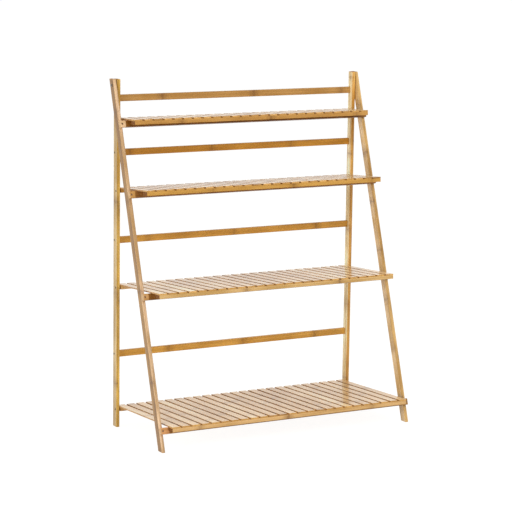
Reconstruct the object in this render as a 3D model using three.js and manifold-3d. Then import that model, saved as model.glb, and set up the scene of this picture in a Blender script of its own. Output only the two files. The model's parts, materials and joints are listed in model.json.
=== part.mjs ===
// A folding bamboo plant stand: an A-frame of slim laths with four slatted shelves.
// Millimetres, +Z up, +X to the right, the front towards -Y.
// The rear legs stand plumb. The front frame hangs on two pivot bolts near the top and leans
// forward. Each shelf turns on two screws in the rear legs, rests on a rung of the front frame
// and hooks over it with its front rail. The bottom shelf's rail bears on its rung, which keeps
// the frame open. To fold the stand, the shelves are lifted and the front frame swings back.

import * as THREE from "three";
import { mergeVertices } from "three/addons/utils/BufferGeometryUtils.js";
import Module from "manifold-3d";

const wasm = await Module();
wasm.setup();

// Overall sizes
const WIDTH = 950; // across the outer faces of the front legs
const HEIGHT = 1180;
const FOOT_REACH = 373; // from the rear legs' front faces to the toes of the front legs

// Laths
const LEG_WIDTH = 12; // along X
const LEG_DEPTH = 28; // along Y
const BAR_HEIGHT = 22; // back rails and rungs
const BACK_RAIL_THICKNESS = 14;
const RUNG_THICKNESS = 14;
const SHELF_RAIL_DEPTH = 28;
const SHELF_RAIL_HEIGHT = 12;
const SLAT_WIDTH = 27;
const SLAT_THICKNESS = 5;
const SLAT_COUNT = 25;
const EDGE_RADIUS = 1.5; // eased long edges of every lath
const SLAT_EDGE_RADIUS = 1.2;

// Tiers, from the top one to the bottom one
const UPPER_SHELF_DROPS = [140, 373, 700]; // from the top of the legs down to a shelf's pivot
const BOTTOM_SHELF_HEIGHT = 61; // from the floor up to its pivot
const RUNG_RISES = [8.5, 16, 20, 21]; // from a shelf's pivot up to its rung's front top edge
const BACK_RAIL_RISES = [87, 139, 171, 201]; // from a shelf's pivot up to its back rail's top

// Room between the back of each shelf's front rail and its rung
const LOCK_CLEARANCE = 0.4;
const HOOK_PLAYS = [24, 43, 34, LOCK_CLEARANCE];

// Pivots
const PIVOT_DROP = 21; // from the top of the legs to the main pivot
const SHELF_PIVOT_SETBACK = 9; // from the rear legs' front faces
const LEG_GAP = 1.4; // between the front and the rear leg of each side, filled by a washer
const SHELF_SIDE_CLEARANCE = 1;
const SEAT_CLEARANCE = 0.3; // between pieces that bear on each other

// Hardware
const BOLT_DIAMETER = 6;
const BOLT_HEAD_DIAMETER = 10;
const BOLT_HEAD_HEIGHT = 2.4;
const NUT_FLANGE_DIAMETER = 11;
const NUT_FLANGE_HEIGHT = 1.6;
const NUT_SLEEVE_DIAMETER = 9;
const NUT_SLEEVE_LENGTH = 9; // with the flange
const WASHER_DIAMETER = 18;
const SCREW_DIAMETER = 4;
const SCREW_HEAD_DIAMETER = 7;
const HEAD_SINK = 0.2; // screw heads and nut flanges lie this far below the face of the wood
const RAIL_SCREW_LENGTH = 38;
const SHELF_SCREW_LENGTH = 38;
const RUNG_SCREW_LENGTH = 32;
const HOLE_CLEARANCE = 0.3; // all round a screw, a bolt or a head
const ROUND_SIDES = 12;

// Worked out from the sizes above
const PIVOT_HEIGHT = HEIGHT - PIVOT_DROP;
const PIVOT_SETBACK = LEG_DEPTH / 2;
const LEAN = leanOfFrontFrame();
const FRONT_LEG_X = (WIDTH - LEG_WIDTH) / 2;
const REAR_LEG_X = FRONT_LEG_X - LEG_WIDTH - LEG_GAP;
const REAR_INNER_X = REAR_LEG_X - LEG_WIDTH / 2;
const NUT_FACE_X = REAR_INNER_X + HEAD_SINK;
const BACK_RAIL_LENGTH = 2 * (REAR_INNER_X - SEAT_CLEARANCE);
const SHELF_WIDTH = 2 * (REAR_INNER_X - SHELF_SIDE_CLEARANCE);
const SLAT_PITCH = (SHELF_WIDTH - SLAT_WIDTH) / (SLAT_COUNT - 1);
const UPPER_SHELF_HEIGHTS = UPPER_SHELF_DROPS.map((drop) => HEIGHT - drop);
const SHELF_PIVOT_HEIGHTS = [...UPPER_SHELF_HEIGHTS, BOTTOM_SHELF_HEIGHT];
const RUNG_TOP_HEIGHTS = RUNG_RISES.map((rise, tier) => SHELF_PIVOT_HEIGHTS[tier] + rise);
const BACK_RAIL_TOPS = BACK_RAIL_RISES.map((rise, tier) => SHELF_PIVOT_HEIGHTS[tier] + rise);
const RAIL_TOP = SHELF_RAIL_HEIGHT / 2; // above the shelf's pivot

// Finishes
const legBamboo = finish(0xcda063, 0.45, 0);
const railBamboo = finish(0xc89a58, 0.45, 0);
const slatBamboo = finish(0xe4d0b2, 0.42, 0);
const screwSteel = finish(0x6b5f52, 0.4, 0.9);
const boltSteel = finish(0x8c857b, 0.35, 0.9);

function finish(color, roughness, metalness) {
  return new THREE.MeshStandardMaterial({ color, roughness, metalness });
}

// The angle at which the front leg's toe reaches FOOT_REACH, with the leg centred on the pivot.
function leanOfFrontFrame() {
  const forward = FOOT_REACH + PIVOT_SETBACK;
  const toPivot = Math.hypot(forward, PIVOT_HEIGHT);
  return Math.atan2(forward, PIVOT_HEIGHT) - Math.asin(LEG_DEPTH / 2 / toPivot);
}

function solidOf(geometry) {
  const bare = geometry.clone();
  bare.deleteAttribute("normal");
  bare.deleteAttribute("uv");
  const merged = mergeVertices(bare, 1e-4);
  const mesh = new wasm.Mesh({
    numProp: 3,
    vertProperties: merged.attributes.position.array,
    triVerts: new Uint32Array(merged.index.array),
  });
  return new wasm.Manifold(mesh);
}

function geometryOf(solid) {
  const mesh = solid.getMesh();
  const geometry = new THREE.BufferGeometry();
  geometry.setAttribute("position", new THREE.BufferAttribute(mesh.vertProperties, 3));
  geometry.setIndex(new THREE.BufferAttribute(mesh.triVerts, 1));
  geometry.computeVertexNormals();
  return geometry;
}

function piece(name, solid, material) {
  const mesh = new THREE.Mesh(geometryOf(solid), material);
  mesh.name = name;
  return mesh;
}

// A lath along Z, centred on the axis, with eased long edges.
function lath(width, depth, length, radius) {
  const x = width / 2 - radius;
  const y = depth / 2 - radius;
  const outline = new THREE.Shape();
  outline.absarc(x, y, radius, 0, Math.PI / 2);
  outline.absarc(-x, y, radius, Math.PI / 2, Math.PI);
  outline.absarc(-x, -y, radius, Math.PI, 1.5 * Math.PI);
  outline.absarc(x, -y, radius, 1.5 * Math.PI, 2 * Math.PI);
  const settings = { depth: length, bevelEnabled: false, curveSegments: 2 };
  return new THREE.ExtrudeGeometry(outline, settings);
}

// A lath along X, centred on its length, height and thickness.
function crossLath(length, height, thickness) {
  const bar = lath(height, thickness, length, EDGE_RADIUS);
  return bar.translate(0, 0, -length / 2).rotateY(Math.PI / 2);
}

// A solid of revolution around +Z. The profile is a list of [radius, height] from the axis
// at the bottom to the axis at the top.
function turned(profile) {
  const points = profile.map(([radius, height]) => new THREE.Vector2(radius, height));
  return new THREE.LatheGeometry(points, ROUND_SIDES).rotateX(Math.PI / 2);
}

// A countersunk screw. Its head's top lies in the plane Z = 0 and its point goes down.
// With extra, it is the hole that such a screw needs, open at the top.
function screwForm(length, extra = 0) {
  const shank = SCREW_DIAMETER / 2 + extra;
  const head = SCREW_HEAD_DIAMETER / 2 + extra;
  const headHeight = (SCREW_HEAD_DIAMETER - SCREW_DIAMETER) / 2;
  const profile = [
    [0, -length - extra],
    [shank * 0.3, -length - extra],
    [shank, -length + SCREW_DIAMETER],
    [shank, -headHeight],
    [head, 0],
  ];
  if (extra > 0) {
    profile.push([head, headHeight]);
  }
  profile.push([0, profile.at(-1)[1]]);
  return turned(profile);
}

// Turns a form whose axis is +Z so that +Z points to the left (-1) or to the right (+1).
function facingSide(geometry, side) {
  return geometry.rotateY((side * Math.PI) / 2);
}

function sideName(side) {
  return side < 0 ? "left" : "right";
}

// Where the centre line of a back rail runs.
function backRailCentre(top) {
  return { y: LEG_DEPTH - BACK_RAIL_THICKNESS / 2, z: top - BAR_HEIGHT / 2 };
}

// The X of a side screw's head plane in the outer face of a rear leg.
function rearScrewHeadX(side) {
  return side * (REAR_LEG_X + LEG_WIDTH / 2 - HEAD_SINK);
}

function sideScrew(length, side, y, z, extra = 0) {
  const form = facingSide(screwForm(length, extra), side);
  return solidOf(form.translate(rearScrewHeadX(side), y, z));
}

// Rear leg: plumb, bored for the main pivot, four shelf screws and four back-rail screws.
function rearLeg(side) {
  const bar = lath(LEG_WIDTH, LEG_DEPTH, HEIGHT, EDGE_RADIUS);
  let leg = solidOf(bar.translate(side * REAR_LEG_X, LEG_DEPTH / 2, 0));
  leg = leg.subtract(pivotSeat(side));
  for (const height of SHELF_PIVOT_HEIGHTS) {
    leg = leg.subtract(
      sideScrew(SHELF_SCREW_LENGTH, side, SHELF_PIVOT_SETBACK, height, HOLE_CLEARANCE),
    );
  }
  for (const top of BACK_RAIL_TOPS) {
    const centre = backRailCentre(top);
    leg = leg.subtract(sideScrew(RAIL_SCREW_LENGTH, side, centre.y, centre.z, HOLE_CLEARANCE));
  }
  return piece(`${sideName(side)}_rear_leg`, leg, legBamboo);
}

// Back rail: its ends butt on the rear legs' inner faces and it lies flush with their backs.
function backRail(tier) {
  const centre = backRailCentre(BACK_RAIL_TOPS[tier]);
  const bar = crossLath(BACK_RAIL_LENGTH, BAR_HEIGHT, BACK_RAIL_THICKNESS);
  let rail = solidOf(bar.translate(0, centre.y, centre.z));
  for (const side of [-1, 1]) {
    rail = rail.subtract(sideScrew(RAIL_SCREW_LENGTH, side, centre.y, centre.z, HOLE_CLEARANCE));
  }
  return piece(`back_rail_${tier + 1}`, rail, railBamboo);
}

function backRailScrew(tier, side) {
  const centre = backRailCentre(BACK_RAIL_TOPS[tier]);
  const screw = sideScrew(RAIL_SCREW_LENGTH, side, centre.y, centre.z);
  return piece(`back_rail_${tier + 1}_${sideName(side)}_screw`, screw, screwSteel);
}

function rearFrame() {
  const frame = new THREE.Group();
  for (const side of [-1, 1]) {
    frame.add(rearLeg(side));
  }
  for (const tier of BACK_RAIL_TOPS.keys()) {
    frame.add(backRail(tier));
    for (const side of [-1, 1]) {
      frame.add(backRailScrew(tier, side));
    }
  }
  return frame;
}

// The front frame is drawn around the main pivot, with its legs upright along Z, and its group
// leans it forward. Its rungs lie on the legs' front faces.

// Along the leg, from the pivot to the top of a rung whose front top edge is at this height.
function rungTopAlongLeg(height) {
  const outward = LEG_DEPTH / 2 + SEAT_CLEARANCE + RUNG_THICKNESS;
  return (height - PIVOT_HEIGHT - outward * Math.sin(LEAN)) / Math.cos(LEAN);
}

// Middle of a rung, in the front frame's own axes.
function rungCentre(tier) {
  return {
    y: -(LEG_DEPTH / 2 + SEAT_CLEARANCE + RUNG_THICKNESS / 2),
    z: rungTopAlongLeg(RUNG_TOP_HEIGHTS[tier]) - BAR_HEIGHT / 2,
  };
}

// The centre of the rounding on a rung's front top edge, in the stand's axes.
function rungEdgeCentre(tier) {
  const y = rungCentre(tier).y - RUNG_THICKNESS / 2 + EDGE_RADIUS;
  const z = rungTopAlongLeg(RUNG_TOP_HEIGHTS[tier]) - EDGE_RADIUS;
  return {
    y: PIVOT_SETBACK + y * Math.cos(LEAN) + z * Math.sin(LEAN),
    z: PIVOT_HEIGHT - y * Math.sin(LEAN) + z * Math.cos(LEAN),
  };
}

function rungScrewForm(tier, side, extra = 0) {
  const centre = rungCentre(tier);
  const face = centre.y - RUNG_THICKNESS / 2 + HEAD_SINK;
  const form = screwForm(RUNG_SCREW_LENGTH, extra).rotateX(Math.PI / 2);
  return solidOf(form.translate(side * FRONT_LEG_X, face, centre.z));
}

// Front leg: a lath cut level at the floor and at the top, bored for the pivot and the rungs.
function frontLeg(side) {
  const spare = LEG_DEPTH;
  const below = PIVOT_HEIGHT / Math.cos(LEAN) + spare;
  const above = PIVOT_DROP / Math.cos(LEAN) + spare;
  const bar = lath(LEG_WIDTH, LEG_DEPTH, below + above, EDGE_RADIUS);
  let leg = solidOf(bar.translate(side * FRONT_LEG_X, 0, -below));
  const floorToTop = new THREE.BoxGeometry(WIDTH + spare, 4 * FOOT_REACH, HEIGHT);
  floorToTop.translate(0, 0, HEIGHT / 2 - PIVOT_HEIGHT).rotateX(LEAN);
  leg = leg.intersect(solidOf(floorToTop));
  const bore = BOLT_DIAMETER / 2 + HOLE_CLEARANCE;
  const boltHole = new THREE.CylinderGeometry(bore, bore, 2 * LEG_WIDTH, ROUND_SIDES);
  boltHole.rotateZ(Math.PI / 2).translate(side * FRONT_LEG_X, 0, 0);
  leg = leg.subtract(solidOf(boltHole));
  for (const tier of RUNG_TOP_HEIGHTS.keys()) {
    leg = leg.subtract(rungScrewForm(tier, side, HOLE_CLEARANCE));
  }
  return piece(`${sideName(side)}_front_leg`, leg, legBamboo);
}

// Rung: as long as the stand is wide, screwed to the front faces of both front legs.
function rung(tier) {
  const centre = rungCentre(tier);
  const bar = crossLath(WIDTH, BAR_HEIGHT, RUNG_THICKNESS);
  let solid = solidOf(bar.translate(0, centre.y, centre.z));
  for (const side of [-1, 1]) {
    solid = solid.subtract(rungScrewForm(tier, side, HOLE_CLEARANCE));
  }
  return piece(`rung_${tier + 1}`, solid, railBamboo);
}

// Pivot bolt: a domed head on the front leg's outer face and a shank through both legs.
function pivotBolt(side) {
  const seat = FRONT_LEG_X + LEG_WIDTH / 2 + SEAT_CLEARANCE;
  const shankEnd = NUT_FACE_X + NUT_FLANGE_HEIGHT + SEAT_CLEARANCE;
  const headRadius = BOLT_HEAD_DIAMETER / 2;
  const form = turned([
    [0, shankEnd - seat],
    [BOLT_DIAMETER / 2, shankEnd - seat],
    [BOLT_DIAMETER / 2, 0],
    [headRadius, 0],
    [headRadius, BOLT_HEAD_HEIGHT * 0.4],
    [headRadius * 0.7, BOLT_HEAD_HEIGHT * 0.9],
    [0, BOLT_HEAD_HEIGHT],
  ]);
  const bolt = solidOf(facingSide(form, side).translate(side * seat, 0, 0));
  return piece(`${sideName(side)}_pivot_bolt`, bolt, boltSteel);
}

// Washer: spaces the front leg from the rear leg and is as thick as their gap allows.
function pivotWasher(side) {
  const thickness = LEG_GAP - 2 * SEAT_CLEARANCE;
  const inner = BOLT_DIAMETER / 2 + HOLE_CLEARANCE;
  const outer = WASHER_DIAMETER / 2;
  const form = turned([
    [inner, 0],
    [outer, 0],
    [outer, thickness],
    [inner, thickness],
    [inner, 0],
  ]);
  const start = REAR_LEG_X + LEG_WIDTH / 2 + SEAT_CLEARANCE;
  const ring = solidOf(facingSide(form, side).translate(side * start, 0, 0));
  return piece(`${sideName(side)}_pivot_washer`, ring, boltSteel);
}

// Sleeve nut: its flange is let into the inner face of the rear leg, and its sleeve is the
// bearing that the rear leg turns on. The bolt is threaded into it.
function pivotNut(side) {
  const bore = BOLT_DIAMETER / 2 + HOLE_CLEARANCE;
  const flange = NUT_FLANGE_DIAMETER / 2;
  const sleeve = NUT_SLEEVE_DIAMETER / 2;
  const form = turned([
    [0, 0],
    [flange, 0],
    [flange, NUT_FLANGE_HEIGHT],
    [sleeve, NUT_FLANGE_HEIGHT],
    [sleeve, NUT_SLEEVE_LENGTH],
    [bore, NUT_SLEEVE_LENGTH],
    [bore, NUT_FLANGE_HEIGHT],
    [0, NUT_FLANGE_HEIGHT],
  ]);
  const nut = solidOf(facingSide(form, side).translate(side * NUT_FACE_X, 0, 0));
  return piece(`${sideName(side)}_pivot_nut`, nut, boltSteel);
}

// The hole in a rear leg for the sleeve nut, with a recess for its flange.
function pivotSeat(side) {
  const form = turned([
    [0, -NUT_FLANGE_HEIGHT],
    [NUT_FLANGE_DIAMETER / 2 + HOLE_CLEARANCE, -NUT_FLANGE_HEIGHT],
    [NUT_FLANGE_DIAMETER / 2 + HOLE_CLEARANCE, NUT_FLANGE_HEIGHT + SEAT_CLEARANCE],
    [NUT_SLEEVE_DIAMETER / 2 + HOLE_CLEARANCE, NUT_FLANGE_HEIGHT + SEAT_CLEARANCE],
    [NUT_SLEEVE_DIAMETER / 2 + HOLE_CLEARANCE, 2 * LEG_WIDTH],
    [0, 2 * LEG_WIDTH],
  ]);
  return solidOf(
    facingSide(form, side).translate(side * NUT_FACE_X, PIVOT_SETBACK, PIVOT_HEIGHT),
  );
}

function frontFrame() {
  const frame = new THREE.Group();
  frame.position.set(0, PIVOT_SETBACK, PIVOT_HEIGHT);
  frame.rotation.x = -LEAN;
  for (const side of [-1, 1]) {
    frame.add(frontLeg(side));
    frame.add(pivotBolt(side));
    frame.add(pivotWasher(side));
    frame.add(pivotNut(side));
  }
  for (const tier of RUNG_TOP_HEIGHTS.keys()) {
    frame.add(rung(tier));
    for (const side of [-1, 1]) {
      const name = `rung_${tier + 1}_${sideName(side)}_screw`;
      frame.add(piece(name, rungScrewForm(tier, side), screwSteel));
    }
  }
  return frame;
}

// A shelf is drawn around its pivot, level and reaching towards -Y, and its group tilts it
// until the slats rest on the rung's front top edge.

// Tilt of a shelf and the distance from its pivot to the edge that it rests on.
function shelfRest(tier) {
  const edge = rungEdgeCentre(tier);
  const forward = SHELF_PIVOT_SETBACK - edge.y;
  const up = edge.z - SHELF_PIVOT_HEIGHTS[tier];
  const away = Math.hypot(forward, up);
  const offset = RAIL_TOP - SEAT_CLEARANCE - EDGE_RADIUS;
  const tilt = Math.atan2(up, forward) - Math.asin(offset / away);
  return { tilt, reach: Math.sqrt(away * away - offset * offset) };
}

// From the pivot to the front of a shelf, whose front rail hooks over the rung. The rung's
// front face leans, so the rail clears it at the rail's own lower edge.
function shelfReach(tier) {
  const rest = shelfRest(tier);
  const faceLean = SHELF_RAIL_HEIGHT * Math.tan(LEAN + rest.tilt);
  return rest.reach + EDGE_RADIUS + faceLean + HOOK_PLAYS[tier] + SHELF_RAIL_DEPTH;
}

// Cross-section of a slat: flat below, with eased upper edges.
function slatOutline() {
  const half = SLAT_WIDTH / 2;
  const shoulder = SLAT_THICKNESS - SLAT_EDGE_RADIUS;
  const outline = new THREE.Shape();
  outline.moveTo(-half, 0);
  outline.lineTo(half, 0);
  outline.absarc(half - SLAT_EDGE_RADIUS, shoulder, SLAT_EDGE_RADIUS, 0, Math.PI / 2);
  outline.absarc(-half + SLAT_EDGE_RADIUS, shoulder, SLAT_EDGE_RADIUS, Math.PI / 2, Math.PI);
  return outline;
}

function shelfScrewForm(side, extra = 0) {
  return sideScrew(SHELF_SCREW_LENGTH, side, 0, 0, extra);
}

// Deck: the rear rail with the slats fixed across it.
function shelfDeck(tier) {
  const reach = shelfReach(tier);
  const rearEnd = SHELF_RAIL_DEPTH / 2;
  const railBar = crossLath(SHELF_WIDTH, SHELF_RAIL_HEIGHT, SHELF_RAIL_DEPTH);
  let deck = solidOf(railBar);
  for (const side of [-1, 1]) {
    deck = deck.subtract(shelfScrewForm(side, HOLE_CLEARANCE));
  }
  const settings = { depth: rearEnd + reach, bevelEnabled: false, curveSegments: 2 };
  const slats = [];
  for (let i = 0; i < SLAT_COUNT; i++) {
    const slat = new THREE.ExtrudeGeometry(slatOutline(), settings);
    const x = (i - (SLAT_COUNT - 1) / 2) * SLAT_PITCH;
    slats.push(solidOf(slat.rotateX(Math.PI / 2).translate(x, rearEnd, RAIL_TOP)));
  }
  deck = wasm.Manifold.union([deck, ...slats]);
  return piece(`shelf_${tier + 1}_deck`, deck, slatBamboo);
}

// Front rail: carries the slats' front ends and hooks over the rung.
function shelfFrontRail(tier) {
  const centreY = -shelfReach(tier) + SHELF_RAIL_DEPTH / 2;
  const bar = crossLath(SHELF_WIDTH, SHELF_RAIL_HEIGHT, SHELF_RAIL_DEPTH);
  const rail = solidOf(bar.translate(0, centreY, -SEAT_CLEARANCE));
  return piece(`shelf_${tier + 1}_front_rail`, rail, railBamboo);
}

function shelf(tier) {
  const group = new THREE.Group();
  group.position.set(0, SHELF_PIVOT_SETBACK, SHELF_PIVOT_HEIGHTS[tier]);
  group.rotation.x = -shelfRest(tier).tilt;
  group.add(shelfDeck(tier));
  group.add(shelfFrontRail(tier));
  for (const side of [-1, 1]) {
    const name = `shelf_${tier + 1}_${sideName(side)}_screw`;
    group.add(piece(name, shelfScrewForm(side), screwSteel));
  }
  return group;
}

// The stand, with the middle of its footprint at the origin.
const stand = new THREE.Group();
stand.add(rearFrame());
stand.add(frontFrame());
for (const tier of SHELF_PIVOT_HEIGHTS.keys()) {
  stand.add(shelf(tier));
}
const footprint = new THREE.Box3().setFromObject(stand, true);
stand.position.y = -(footprint.min.y + footprint.max.y) / 2;

export default stand;
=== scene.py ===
"""A folding bamboo plant stand with four slatted shelves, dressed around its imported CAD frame.

Metres, +Z up, the front towards -Y. The sections follow the stand as it is put together: the
rear frame, the front frame that hangs on it, the shelves, and then the screws and pivots.
"""

import json
import math

import bmesh
import bpy
from mathutils import Matrix, Vector


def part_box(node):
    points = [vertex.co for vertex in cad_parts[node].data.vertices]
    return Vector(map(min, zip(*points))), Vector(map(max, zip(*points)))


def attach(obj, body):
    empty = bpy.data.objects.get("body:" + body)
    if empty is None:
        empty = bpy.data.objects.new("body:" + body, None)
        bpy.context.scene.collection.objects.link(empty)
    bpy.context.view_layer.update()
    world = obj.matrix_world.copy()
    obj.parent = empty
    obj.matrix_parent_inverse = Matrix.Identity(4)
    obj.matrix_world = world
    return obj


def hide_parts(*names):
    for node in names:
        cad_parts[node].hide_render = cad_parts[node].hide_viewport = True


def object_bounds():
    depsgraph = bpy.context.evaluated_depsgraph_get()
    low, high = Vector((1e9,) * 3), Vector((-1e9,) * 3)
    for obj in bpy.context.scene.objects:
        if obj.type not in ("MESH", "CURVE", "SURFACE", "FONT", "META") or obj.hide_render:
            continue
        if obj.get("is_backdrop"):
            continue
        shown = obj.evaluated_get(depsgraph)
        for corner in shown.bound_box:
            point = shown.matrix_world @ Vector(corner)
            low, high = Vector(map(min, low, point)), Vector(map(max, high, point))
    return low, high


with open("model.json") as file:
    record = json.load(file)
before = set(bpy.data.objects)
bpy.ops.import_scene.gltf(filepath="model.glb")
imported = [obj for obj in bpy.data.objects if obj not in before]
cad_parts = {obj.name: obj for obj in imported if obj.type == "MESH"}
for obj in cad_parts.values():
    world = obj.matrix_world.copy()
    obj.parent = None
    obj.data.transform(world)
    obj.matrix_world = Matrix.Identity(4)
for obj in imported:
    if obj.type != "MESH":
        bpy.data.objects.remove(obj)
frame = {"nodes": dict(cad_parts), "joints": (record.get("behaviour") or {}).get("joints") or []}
cad_low, cad_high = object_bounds()


# ----------------------------------------------------------------------
# Camera
# It stands to the front left of the stand, above its top, and looks a little down on it.
def placed(name, data):
    """A new object of the scene that shows this mesh, lamp or camera."""
    made = bpy.data.objects.new(name, data)
    bpy.context.scene.collection.objects.link(made)
    return made


CAMERA_PLACE = (-3.4167, -6.0483, 1.7508)
CAMERA_YAW = 29.251  # degrees to the right of straight ahead
CAMERA_PITCH = 9.534  # degrees down
CAMERA_ROLL = 0.799  # degrees, the right side of the view raised
CAMERA_LENS = 146.707  # mm
SENSOR_WIDTH = 36.0  # mm
FURTHEST_SEEN = 100

yaw = math.radians(CAMERA_YAW)
pitch = math.radians(CAMERA_PITCH)
ahead = Vector((math.sin(yaw) * math.cos(pitch), math.cos(yaw) * math.cos(pitch), -math.sin(pitch)))
level_right = Vector((math.cos(yaw), -math.sin(yaw), 0))
right = Matrix.Rotation(-math.radians(CAMERA_ROLL), 3, ahead) @ level_right
up = right.cross(ahead)

camera_data = bpy.data.cameras.new("camera")
camera_data.sensor_width = SENSOR_WIDTH
camera_data.lens = CAMERA_LENS
camera_data.clip_end = FURTHEST_SEEN
camera = placed("camera", camera_data)
camera_turn = Matrix((right, up, -ahead)).transposed().to_4x4()
camera.matrix_world = Matrix.Translation(CAMERA_PLACE) @ camera_turn
bpy.context.scene.camera = camera
bpy.context.scene.view_settings.view_transform = "Standard"


# ----------------------------------------------------------------------
# Studio
# A white sweep lit softly from all round, with a softbox on the left, one above and in front, and
# a weak one overhead. The camera and reflections see the surroundings as white, and the white
# floor keeps a faint shadow.
def linear(hex_colour):
    """An sRGB hex value such as 0xC8A060 as a linear RGBA colour."""
    channels = [((hex_colour >> shift) & 255) / 255 for shift in (16, 8, 0)]
    return (*[c / 12.92 if c <= 0.04045 else ((c + 0.055) / 1.055) ** 2.4 for c in channels], 1.0)


def add(tree, kind, inputs=None, **settings):
    """Adds a node. An input is a value, a socket to link from, or a node whose first socket is
    linked. The settings are the node's own."""
    new = tree.nodes.new(kind)
    for name, value in settings.items():
        setattr(new, name, value)
    for key, value in (inputs or {}).items():
        if isinstance(value, bpy.types.Node):
            value = value.outputs[0]
        if isinstance(value, bpy.types.NodeSocket):
            tree.links.new(value, new.inputs[key])
        else:
            new.inputs[key].default_value = value
    return new


def new_material(name):
    """An empty material, and the tree for its nodes."""
    material = bpy.data.materials.new(name)
    material.use_nodes = True
    material.node_tree.nodes.clear()
    return material, material.node_tree


def seen(tree):
    """A socket that is one where the camera sees a thing, mirrored and through glass too, and zero
    where it only sends light to other things."""
    rays = add(tree, "ShaderNodeLightPath")
    in_view = add(
        tree, "ShaderNodeMath",
        {0: rays.outputs["Is Camera Ray"], 1: rays.outputs["Is Glossy Ray"]}, operation="MAXIMUM",
    )
    through_glass = add(
        tree, "ShaderNodeMath",
        {0: in_view, 1: rays.outputs["Is Transmission Ray"]}, operation="MAXIMUM",
    )
    return through_glass.outputs[0]


WHITE = (1.0, 1.0, 1.0, 1.0)
SKY_STRENGTH = 0.45
SOFTBOXES = {  # place, size and watts
    "side_softbox": ((-8.5, -2.0, 1.8), 5.0, 420.0),
    "front_softbox": ((0.5, -7.0, 5.0), 4.0, 240.0),
    "top_softbox": ((0.0, -0.5, 9.0), 4.0, 90.0),
}
FLOOR_COLOUR = (0.8, 0.8, 0.8, 1.0)
FLOOR_SEEN = (0.25, 0.25, 0.25, 1.0)  # its share of lit colour for the camera, over its glow
FLOOR_GLOW = 0.9  # added for the camera and reflections alone, so that the sweep looks white
FLOOR_SIZE = 60.0

world = bpy.data.worlds.new("white_studio")
bpy.context.scene.world = world
world.use_nodes = True
sky = world.node_tree
sky.nodes.clear()
soft_light = add(sky, "ShaderNodeBackground", {"Color": WHITE, "Strength": SKY_STRENGTH})
plain_white = add(sky, "ShaderNodeBackground", {"Color": WHITE, "Strength": 1.0})
surroundings = add(sky, "ShaderNodeMixShader", {0: seen(sky), 1: soft_light, 2: plain_white})
add(sky, "ShaderNodeOutputWorld", {"Surface": surroundings})

for name, (place, size, power) in SOFTBOXES.items():
    softbox_data = bpy.data.lights.new(name, "AREA")
    softbox_data.shape = "SQUARE"
    softbox_data.size = size
    softbox_data.energy = power
    softbox = placed(name, softbox_data)
    softbox.location = place
    aim = (cad_low + cad_high) / 2 - Vector(place)
    softbox.rotation_euler = aim.to_track_quat("-Z", "Y").to_euler()
    softbox.visible_glossy = False  # the lacquer mirrors the white studio, not the lamps

floor_paint, sweep = new_material("matt_white_floor")
floor_seen = seen(sweep)
floor_tint = add(
    sweep, "ShaderNodeMix",
    {"Factor": floor_seen, "A": FLOOR_COLOUR, "B": FLOOR_SEEN}, data_type="RGBA",
)
matt = add(sweep, "ShaderNodeBsdfDiffuse", {"Color": floor_tint.outputs["Result"]})
glow_seen = add(sweep, "ShaderNodeMath", {0: floor_seen, 1: FLOOR_GLOW}, operation="MULTIPLY")
glow = add(sweep, "ShaderNodeEmission", {"Color": WHITE, "Strength": glow_seen})
floor_look = add(sweep, "ShaderNodeAddShader", {0: matt, 1: glow})
add(sweep, "ShaderNodeOutputMaterial", {"Surface": floor_look})

floor_mesh = bpy.data.meshes.new("floor")
floor_corners = [
    (x * FLOOR_SIZE / 2, y * FLOOR_SIZE / 2, 0) for x, y in ((-1, -1), (1, -1), (1, 1), (-1, 1))
]
floor_mesh.from_pydata(floor_corners, [], [(0, 1, 2, 3)])
floor_mesh.materials.append(floor_paint)
floor = placed("floor", floor_mesh)
floor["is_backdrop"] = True


# ----------------------------------------------------------------------
# Rear legs
# Two plumb laths of laminated bamboo, planed, eased along every edge and given a clear satin
# lacquer. They are bored for the pivots and countersunk for the screws of rails and shelves.
LATH_EASING = 0.0015  # radius of the sanded edges
LEG_EASING = 0.002
EASING_STEPS = 4
EASING_PROFILE = 0.5  # a round one
FLAT_TOLERANCE = 0.0001
PALE_START_BLEND = 0.0015
SMOOTH_ANGLE = math.radians(50)
END_FACING = 0.7  # how far the normal of a cut end points along the lath, at the least
SIDE_ON = 0.01  # how far the normal of a face that a lath's tilt is read from leaves its plane
LEG_LAYER = 0.006  # thickness of the bamboo layers glued into a leg
REAR_LEG_WOOD = (0xF0B75A, 0xB07A2C, 0x895922)  # its pale and deep tones, and that of its nodes
END_TONES = (0xA87234, 0x6E4018)  # the ground and the fibre bundles of a sawn end

SCREW_HEAD_DIAMETER = 0.007
SCREW_DIAMETER = 0.004
HOLE_CLEARANCE = 0.0003
HEAD_TAPER = (SCREW_HEAD_DIAMETER - SCREW_DIAMETER) / 2
PIVOT_FLANGE_RADIUS = 0.0055
PIVOT_FLANGE_HEIGHT = 0.0016
PIVOT_SLEEVE_RADIUS = 0.0045
BOLT_RADIUS = 0.003
NUT_BORE_REACH = 0.03  # from the nut's face, through the leg and out of it
ROUND_SIDES = 32

X, Y, Z = 0, 1, 2
UPRIGHT = Matrix.Identity(4)  # the frame in which a piece that isn't tilted is drawn


def turn_of(node):
    """The angle about X at which a CAD lath lies, from the normal of its widest face."""
    faces = [face for face in frame["nodes"][node].data.polygons if abs(face.normal.x) < SIDE_ON]
    normal = max(faces, key=lambda face: face.area).normal
    turn = math.atan2(normal.z, normal.y)
    quarter = math.pi / 2
    return turn - round(turn / quarter) * quarter


def seat_of(node, pivot):
    """The frame that a tilted piece is drawn in: its origin is the pivot and it turns about X."""
    return Matrix.Translation(pivot) @ Matrix.Rotation(turn_of(node), 4, "X")


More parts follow.
